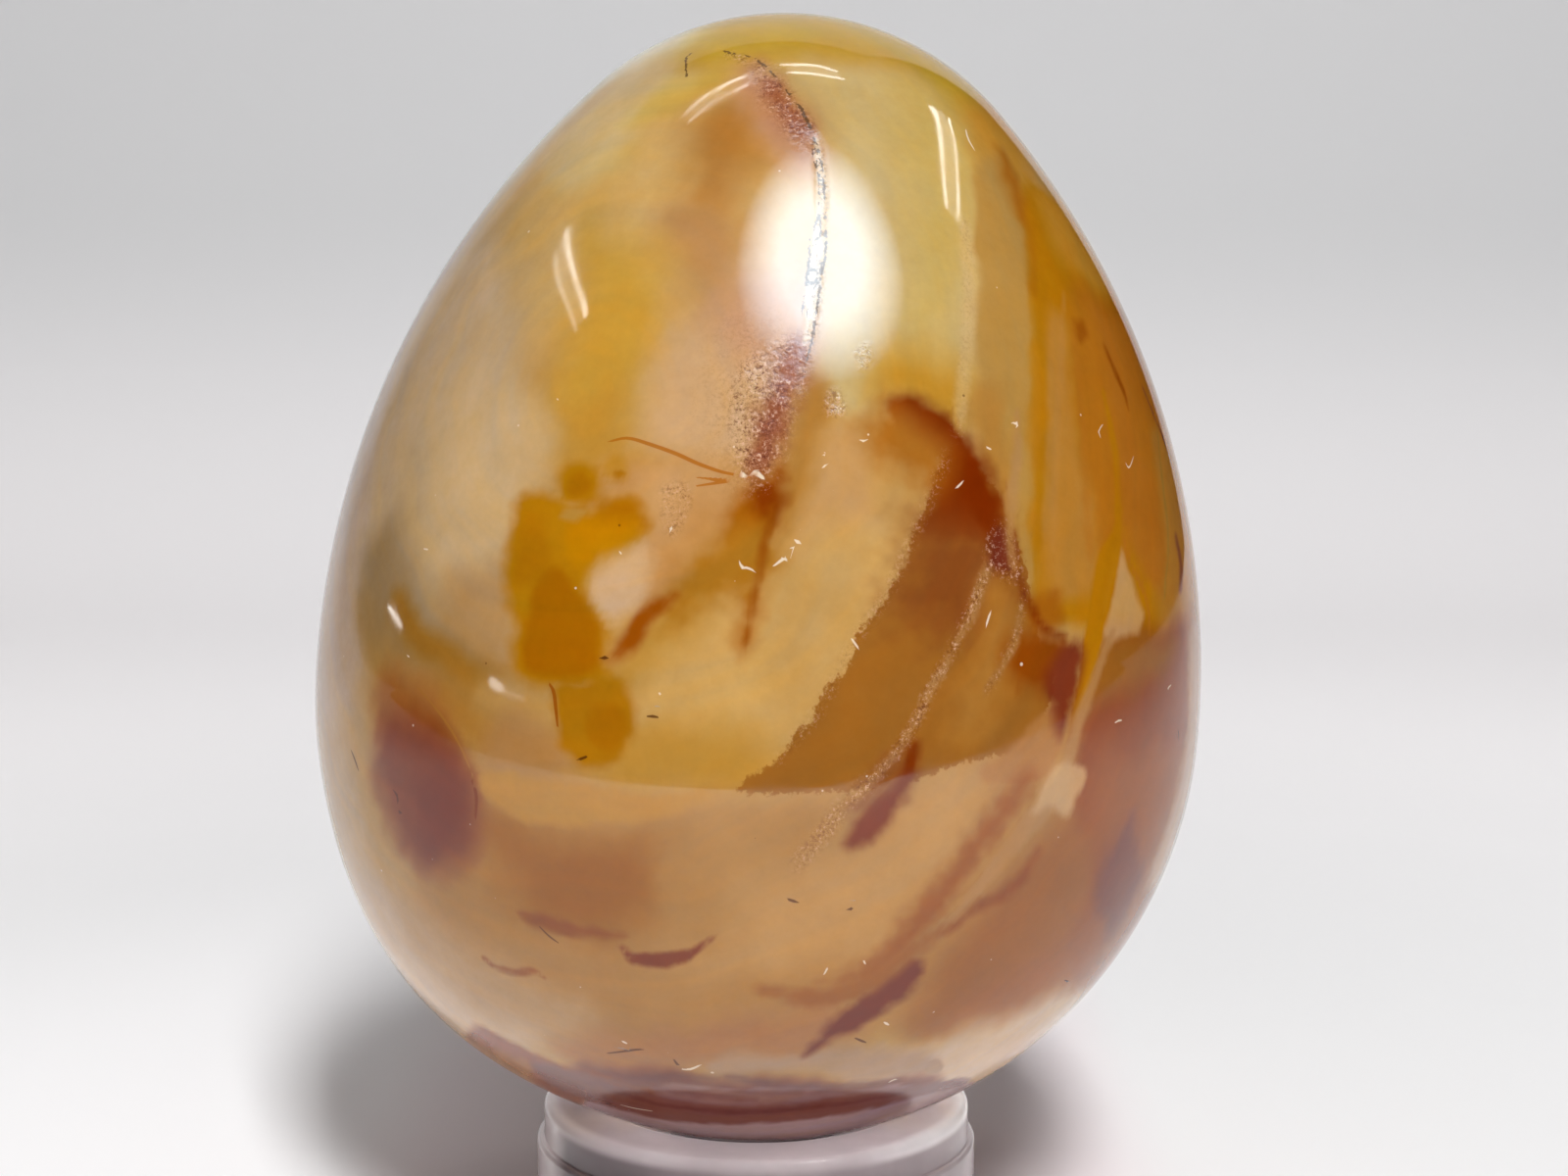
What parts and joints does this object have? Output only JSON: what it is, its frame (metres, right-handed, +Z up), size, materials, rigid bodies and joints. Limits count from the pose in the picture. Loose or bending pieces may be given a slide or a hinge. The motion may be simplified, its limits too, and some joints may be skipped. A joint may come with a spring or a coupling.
{
  "type": "decorative egg on stand",
  "caption": "Polished banded stone egg resting blunt end down, leaning slightly, in the seat of a clear plastic ring stand.",
  "frame": {"origin": "on the floor, at the centre of the ring stand's underside", "axes": "+Z up along the ring stand's axis; +Y away from the viewer of the picture, who stands at -Y; the egg leans towards +X"},
  "size_m": [0.05, 0.05, 0.0718],
  "materials": {
    "polished_agate": "polished",
    "clear_plastic": "clear, polished"
  },
  "bodies": {
    "stand": {"ring_stand": "clear_plastic"},
    "egg": {"stone_egg": "polished_agate"}
  },
  "joints": [
    {"name": "egg_lift", "type": "slide", "parent": "stand", "child": "egg", "axis": [0, 0, 1], "range_m": [0, 0.025]}
  ]
}
